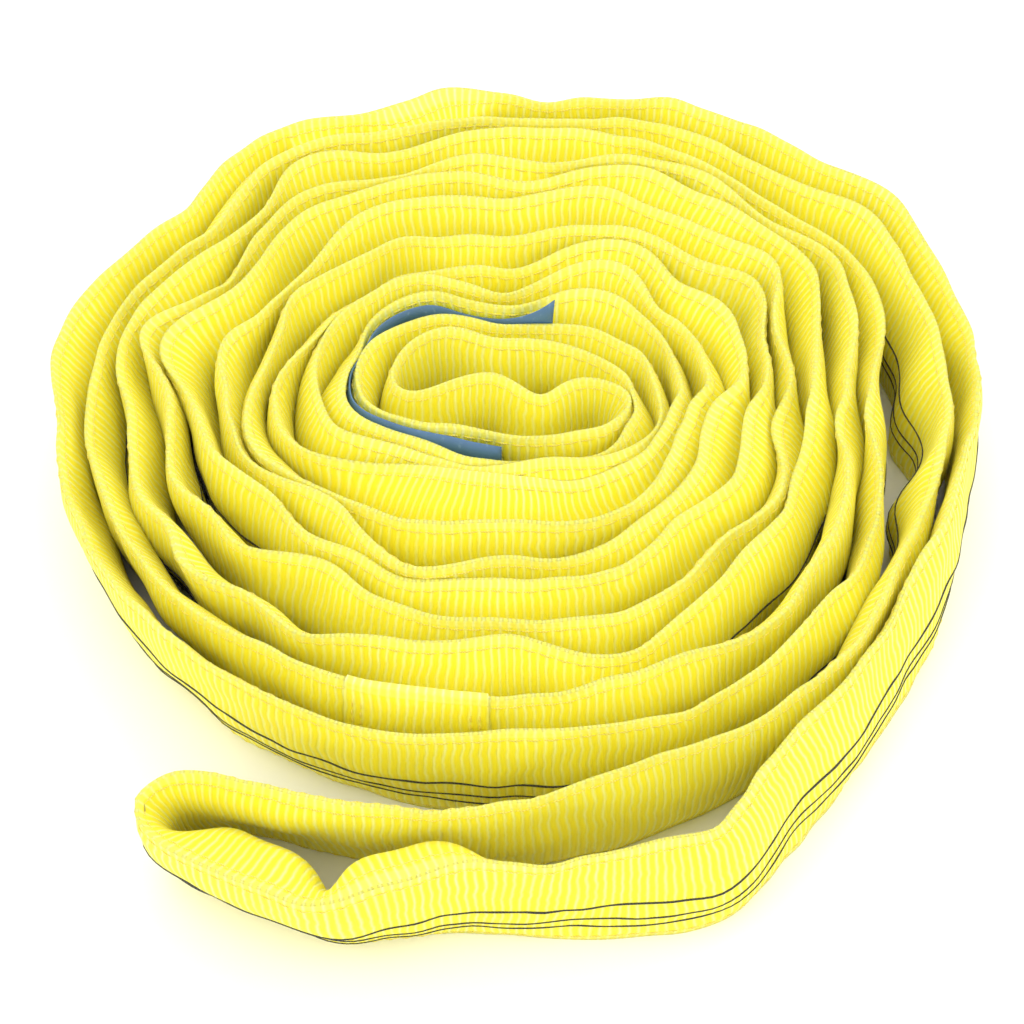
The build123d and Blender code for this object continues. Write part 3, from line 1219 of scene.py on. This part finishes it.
@dataclass
class SeamThreads:
    """A row of stitches beside each edge, seen on both faces."""

    split: Split
    material: Any
    drop: float = 3.7       # from the edge, millimetres
    radius: float = 0.30
    stands: tuple = (0.22, -0.30)   # above the face and under it, turn by turn

    def build(self) -> None:
        """Make both rows in both stretches."""
        strand = self.split.strand
        run = ThreadRun(self.split, self.material, self.radius, self.radius, 5)
        places = {"lower": self.drop / strand.height, "upper": 1 - self.drop / strand.height}
        stitch = np.where(np.arange(len(strand.along)) % 2 == 0, *self.stands)
        for row, share in places.items():
            lines = []
            for face in Face:
                on, off = (strand.line_at(face, share, stand) for stand in (0.0, 1.0))
                lines.append(on + (off - on) * stitch[:, None])
            for body in Body:
                node = f"{row}_seam_thread_{body.value}"
                piece = run.mesh("stitched_" + node, body, lines)
                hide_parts(node)


@dataclass
class Label:
    """The blue label strip, sewn at one end, its other end free.

    It hangs between the inner leg and the folded centre, on the outside of the loop, which on
    this leg faces the centre.
    """

    strand: Strand
    tape: Any
    thread: Any
    back_end: tuple = (72.0, 52.0)     # degrees and radius of the free end
    front_end: tuple = (262.0, 34.0)   # and of the sewn end
    low: float = 12.0
    top: float = 53.5                  # at its sewn end
    back_top: float = 48.0             # at its free end, before it curls
    thick: float = 0.5
    lies: tuple = (0.15, 0.38)         # share of the gap between the legs: at its foot, its top
    leans: float = 0.42                # further share its top leans out where it lies loose
    stands: float = 2.0                # and how much higher it stands there
    lean_middle: float = 224.0         # degrees where it leans and stands most
    lean_reach: float = 36.0
    clear: float = 0.5                 # between the leg and the tape
    spare: float = 1.8                 # width of the gap that the tape never takes up
    widest: float = 12.0               # width given to an open gap
    own_rings: int = 12                # rings past its ends that belong to the same leg
    stitch: float = 3.0
    stitch_pitch: float = 4.2
    curled: int = 8                    # rings over which the free end curls
    curl: tuple = (1.5, 6.0, 12.0)     # how far it curls in: foot and top, and how far up

    def build(self) -> None:
        """Make the strip and its stitches."""
        ends = [self.strand.ring_at(*place) for place in (self.front_end, self.back_end)]
        rings = np.arange(min(ends), max(ends) + 1)
        strip = self._strip(rings)
        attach(strip, "coil")
        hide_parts("label")
        (self.top - self.low) * MM
        stitches = self._stitches(rings)
        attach(stitches, "coil")
        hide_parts("label_stitches")

    def _slack(self, rings: np.ndarray) -> np.ndarray:
        """How loose the strip lies.

        Args:
            rings: the rings the strip covers.

        Returns:
            A number from 0 to 1 for each ring.
        """
        plan = self.strand.levels[rings, 1]
        angle = np.degrees(np.arctan2(plan[:, 1], plan[:, 0])) % 360
        return np.exp(-0.5 * ((angle - self.lean_middle) / self.lean_reach) ** 2)

    def _gap(self, rings: np.ndarray, share: float) -> tuple[np.ndarray, np.ndarray, np.ndarray]:
        """Free width between the leg and the turn outside it, at one share of the height.

        Args:
            rings: the rings the strip covers.
            share: share of the height.

        Returns:
            Points on the leg, directions off it, and the free width at each ring.
        """
        on, inside = (self.strand.line_at(face, share) for face in Face)
        near = np.arange(rings[0] - self.own_rings, rings[-1] + self.own_rings + 1)
        others = np.setdiff1d(np.arange(len(on)), near)
        walls = np.concatenate([on[others], inside[others]])[:, :2]
        point = on[rings]
        away = self.strand.line_at(Face.OUTSIDE, share, 1.0)[rings] - point
        away[:, 2] = 0.0
        away /= np.linalg.norm(away, axis=1, keepdims=True)
        reach = walls[None] - point[:, None, :2]
        ahead = (reach * away[:, None, :2]).sum(2)
        aside = np.abs(reach[:, :, 0] * away[:, None, 1] - reach[:, :, 1] * away[:, None, 0])
        facing = (aside < self.strand.spacing) & (ahead > 0)
        width = np.where(facing, ahead, self.widest).min(1)
        return point, away, smoothed(width, 2.0)

    def _surface(self, rings: np.ndarray, heights: np.ndarray, stand: float) -> np.ndarray:
        """Points over the strip.

        Args:
            rings: the rings the strip covers.
            heights: millimetres above the lower edge of the jacket.
            stand: millimetres further from the jacket than the near side of the tape.

        Returns:
            Array of shape (rings, heights, 3).
        """
        slack = self._slack(rings)
        rows = []
        for height in heights:
            up = (height - self.low) / (self.top - self.low)
            share = self.lies[0] + (self.lies[1] - self.lies[0] + self.leans * slack) * up ** 2
            point, away, width = self._gap(rings, height / self.strand.height)
            lift = stand + self.clear + np.maximum(width - self.spare, 0.0) * share
            rows.append(point + away * lift[:, None])
        return np.stack(rows, 1)

    def _strip(self, rings: np.ndarray) -> Any:
        """The tape, a thin closed strip with its free end curled off the jacket.

        Args:
            rings: the rings it covers, from the sewn end to the free one.

        Returns:
            The object.
        """
        count = len(rings)
        along = self.strand.along[rings]
        top = np.linspace(self.top, self.back_top, count) + self._slack(rings) * self.stands
        top = top + Waves(43).along(rings * self.strand.spacing, 26.0) * 1.1
        shares = np.linspace(0, 1, 9)
        sides = []
        for stand in (0.0, self.thick):
            side = self._surface(rings, self.low + (self.top - self.low) * shares, stand)
            side[:, :, 2] = self.low + (top - self.low)[:, None] * shares[None, :]
            sides.append(side)
        points = np.concatenate([sides[0], sides[1][:, ::-1]], 1)
        level = np.concatenate([shares, shares[::-1]])
        free = np.clip((np.arange(count) - (count - 1 - self.curled)) / self.curled, 0, 1)
        curl = (free ** 2)[:, None]
        foot, rim, rise = self.curl
        inward = -points[:, :, :2] / np.linalg.norm(points[:, :, :2], axis=2, keepdims=True)
        points[:, :, :2] += inward * (curl * (foot + (rim - foot) * level))[:, :, None]
        points[:, :, 2] += curl * level ** 2 * rise
        faces = tube_faces(*points.shape[:2]) + cap_faces(*points.shape[:2])
        return make_piece("blue_label", self.strand.to_frame(points), faces,
                          lay_of(along, points[:, :, 2], 0.0), self.tape)

    def _stitches(self, rings: np.ndarray) -> Any:
        """Two short rows of stitches across the sewn end.

        Args:
            rings: the rings the strip covers.

        Returns:
            The object.
        """
        row = np.linspace(0, 1, 5)[:, None]
        stitches = []
        for start in np.arange(self.low + 2.5, self.top - 4.0, self.stitch_pitch):
            heights = np.array([start, start + self.stitch])
            ends = self._surface(rings, heights, self.thick + 0.12)
            ends[:, :, 2] = heights
            for place in (1, 2):
                along = ends[place + 1, 0] - ends[place, 0]
                along /= np.linalg.norm(along)
                centre = ends[place, 0] * (1 - row) + ends[place, 1] * row
                stitches.append((centre, along, np.cross(along, (0, 0, 1.0))))
        points, faces = stitch_meshes(stitches, 0.34)
        return make_piece("label_sewing", self.strand.to_frame(points), faces, points * MM,
                          self.thread)


@dataclass
class ClosingSeam:
    """Sleeve over the overlapped ends of the jacket, and the cross rows that hold it."""

    strand: Strand
    weave: Any
    thread: Any
    place: tuple = (256.0, 138.0)      # degrees and radius of its middle
    length: float = 52.0
    flat_width: float = 0.120          # once round the strand, metres
    stand: float = 0.55                # above the jacket
    stitch: float = 0.05               # share of the height
    stitch_pitch: float = 0.075

    def build(self) -> None:
        """Make the sleeve and its stitches."""
        middle = self.strand.ring_at(*self.place)
        reach = int(self.length / 2 / self.strand.spacing)
        rings = np.arange(middle - reach, middle + reach + 1)
        sleeve = self._sleeve(rings)
        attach(sleeve, "coil")
        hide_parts("closing_seam_cover")
        stitches = self._stitches(rings)
        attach(stitches, "coil")
        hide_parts("closing_seam_stitches")

    def _sleeve(self, rings: np.ndarray) -> Any:
        """A second layer of the weave round the strand.

        Args:
            rings: the rings it covers.

        Returns:
            The object.
        """
        strand = self.strand
        points, shares = strand.section(rings, self.stand)
        points[:, :, 2] += 0.5 * shares ** 6
        return make_piece("closing_sleeve", strand.to_frame(points), tube_faces(*points.shape[:2]),
                          lay_of(strand.along[rings], shares * strand.height, 3.0), self.weave)

    def _stitches(self, rings: np.ndarray) -> Any:
        """Cross rows near both ends of the sleeve, on both faces.

        Args:
            rings: the rings the sleeve covers.

        Returns:
            The object.
        """
        strand = self.strand
        stitches = []
        for ring in rings[[1, 2, -3, -2]]:
            along = strand.surface[ring + 1, 7] - strand.surface[ring - 1, 7]
            along /= np.linalg.norm(along)
            for face in Face:
                for share in np.arange(0.08, 0.9, self.stitch_pitch):
                    row = np.linspace(share, share + self.stitch, 5)
                    centre = np.array([strand.line_at(face, at, self.stand + 0.15)[ring]
                                       for at in row])
                    stitches.append((centre, along, strand.normal[ring, 7]))
        points, faces = stitch_meshes(stitches, 0.36)
        return make_piece("closing_sewing", strand.to_frame(points), faces, points * MM,
                          self.thread)


# ---- Studio -------------------------------------------------------------------------------
@dataclass
class Studio:
    """Pale floor, soft lights and the camera."""

    middle: Vector
    elevation: float = 50.0
    distance: float = 1.302
    raised: float = 0.028            # height of the point aimed at
    shift: float = -0.07
    lens: float = 125.0
    sensor: float = 36.0
    daylight: float = 1.25
    # name, place and side in metres, watts
    lights: tuple = (("key_light", (-0.9, -0.7, 1.9), 1.6, 7.5),
                     ("fill_light", (1.3, -1.0, 1.4), 1.8, 4.5),
                     ("back_light", (0.2, 1.5, 1.5), 1.6, 5.5))

    def build(self) -> None:
        """Make the floor, the lights and the camera."""
        self._floor()
        for light in self.lights:
            self._light(*light)
        world = bpy.data.worlds.new("studio_world")
        world.use_nodes = True
        shade = world.node_tree.nodes["Background"]
        shade.inputs["Color"].default_value = (1.0, 1.0, 1.0, 1.0)
        shade.inputs["Strength"].default_value = self.daylight
        bpy.context.scene.world = world
        bpy.context.scene.view_settings.view_transform = "Standard"
        self._camera()

    def _floor(self) -> None:
        """A plain pale floor."""
        reach = 6.0
        mesh = bpy.data.meshes.new("floor")
        mesh.from_pydata([(-reach, -reach, 0), (reach, -reach, 0), (reach, reach, 0),
                          (-reach, reach, 0)], [], [(0, 1, 2, 3)])
        floor = bpy.data.objects.new("floor", mesh)
        bpy.context.scene.collection.objects.link(floor)
        book = NodeBook("pale_floor")
        book.set_shader(Base_Color=(0.97, 0.97, 0.97, 1.0), Roughness=0.9,
                        Specular_IOR_Level=0.0)
        mesh.materials.append(book.material)

    def _light(self, name: str, place: tuple, size: float, power: float) -> None:
        """A square soft light aimed at the coil.

        Args:
            name: light name.
            place: where, in metres.
            size: side in metres.
            power: watts.
        """
        data = bpy.data.lights.new(name, "AREA")
        data.size = size
        data.energy = power
        light = bpy.data.objects.new(name, data)
        light.location = place
        light.rotation_euler = (-Vector(place)).to_track_quat("-Z", "Y").to_euler()
        bpy.context.scene.collection.objects.link(light)

    def _camera(self) -> None:
        """The camera, looking down at the front of the coil."""
        tilt = math.radians(self.elevation)
        aim = self.middle + Vector((0.0, 0.0, self.raised))
        data = bpy.data.cameras.new("camera")
        data.lens = self.lens
        data.sensor_width = self.sensor
        data.shift_y = self.shift
        camera = bpy.data.objects.new("camera", data)
        camera.location = aim + self.distance * Vector((0, -math.cos(tilt), math.sin(tilt)))
        camera.rotation_euler = (math.pi / 2 - tilt, 0.0, 0.0)
        bpy.context.scene.collection.objects.link(camera)
        bpy.context.scene.camera = camera


PIVOT_FROM_MIDDLE = Vector((0.005, -0.1802, 0.0))     # swing line, from the coil's middle


def main() -> None:
    """Build every piece in order."""
    logging.basicConfig(level=logging.INFO, format="%(message)s")
    joint = frame["joints"][0]
    pivot = Vector(joint["pos_m"])
    middle = Vector((pivot.x, pivot.y, 0.0)) - PIVOT_FROM_MIDDLE
    Studio(middle).build()
    strand = Strand(middle)
    strand.prepare()
    LOG.info("loop: %.0f mm in %d rings", strand.length, len(strand.along))
    split = Split(strand, pivot)
    weave = JacketWeave().build()
    yarn = TwistedYarn("core_yarn", (0.62, 0.58, 0.46, 1), (0.90, 0.88, 0.80, 1), 0.006).build()
    black = TwistedYarn("marker_thread", (0.010, 0.010, 0.006, 1), (0.05, 0.05, 0.03, 1),
                        0.0012).build()
    sewing = TwistedYarn("seam_thread", (0.80, 0.62, 0.03, 1), (0.96, 0.86, 0.20, 1),
                         0.0010).build()
    pale = TwistedYarn("label_thread", (0.45, 0.52, 0.60, 1), (0.80, 0.84, 0.88, 1),
                       0.0010).build()
    Jacket(split, weave).build()
    Core(split, yarn).build()
    MarkerThreads(split, black).build()
    SeamThreads(split, sewing).build()
    Label(strand, LabelTape().build(), pale).build()
    ClosingSeam(strand, weave, sewing).build()


if __name__ == "__main__":
    main()
